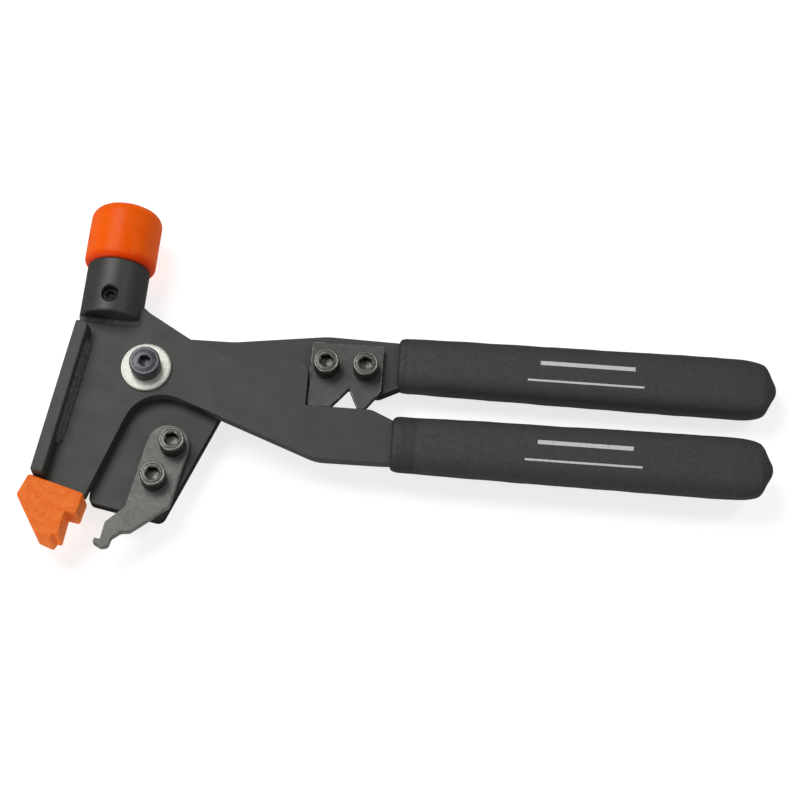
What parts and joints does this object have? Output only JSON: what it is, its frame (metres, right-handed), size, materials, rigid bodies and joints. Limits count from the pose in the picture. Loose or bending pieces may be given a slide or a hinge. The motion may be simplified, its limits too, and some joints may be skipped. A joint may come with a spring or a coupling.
{
  "type": "wheel weight pliers",
  "caption": "Crossed-lever hand tool with a soft hammer head, a plastic nose foot, a clip hook, a notched cutter and cushioned handles.",
  "frame": {"origin": "centre of the closed tool's bounding box in X and Y, at the height of its lowest point as it lies on its back", "axes": "+X along the handles, from the jaws to the handle ends; +Y from the jaws to the hammer head, in the plane of the levers; +Z along the pivot, towards the pivot screw's head"},
  "size_m": [0.2754, 0.1346, 0.0288],
  "materials": {
    "lever_paint": "satin dark grey paint on flat plate",
    "bar_steel": "hot rolled bar with mill scale, painted grey",
    "weld_metal": "lumpy weld bead under paint",
    "turned_steel": "turned steel with a dark finish",
    "orange_face": "moulded orange nylon, semi-gloss",
    "orange_foot": "moulded orange nylon, matt and a little mottled",
    "black_oxide": "black oxide steel with worn bright edges",
    "hook_steel": "blasted grey tool steel",
    "cutter_steel": "ground tool steel with bright edges",
    "pivot_steel": "dark oiled steel",
    "bright_nickel": "warm bright plating",
    "bronze": "plain bronze",
    "nut_nylon": "off-white nylon",
    "grip_vinyl": "near-black matt vinyl"
  },
  "bodies": {
    "front_assembly": {"front_lever": "lever_paint", "edge_bar": "bar_steel", "bar_weld_front": "weld_metal", "bar_weld_rear": "weld_metal", "hammer_socket": "turned_steel", "socket_weld_front": "weld_metal", "socket_weld_rear": "weld_metal", "hammer_face": "orange_face", "face_set_screw": "black_oxide", "nose_foot": "orange_foot", "foot_screw_upper": "black_oxide", "foot_screw_lower": "black_oxide", "pivot_screw": "pivot_steel", "pivot_washer_front": "bright_nickel", "thrust_washer": "bronze", "pivot_washer_rear": "bright_nickel", "pivot_nut": "bright_nickel", "nut_insert": "nut_nylon", "lower_grip": "grip_vinyl"},
    "rear_assembly": {"rear_lever": "lever_paint", "hook_blade": "hook_steel", "hook_screw_upper": "black_oxide", "hook_screw_lower": "black_oxide", "cutter_blade": "cutter_steel", "cutter_screw_left": "black_oxide", "cutter_screw_right": "black_oxide", "upper_grip": "grip_vinyl"}
  },
  "joints": [
    {"name": "lever_pivot", "type": "hinge", "parent": "front_assembly", "child": "rear_assembly", "pos_m": [-0.09713, 0.00333, 0.00993], "axis": [0, 0, 1], "range_deg": [0, 21]}
  ]
}
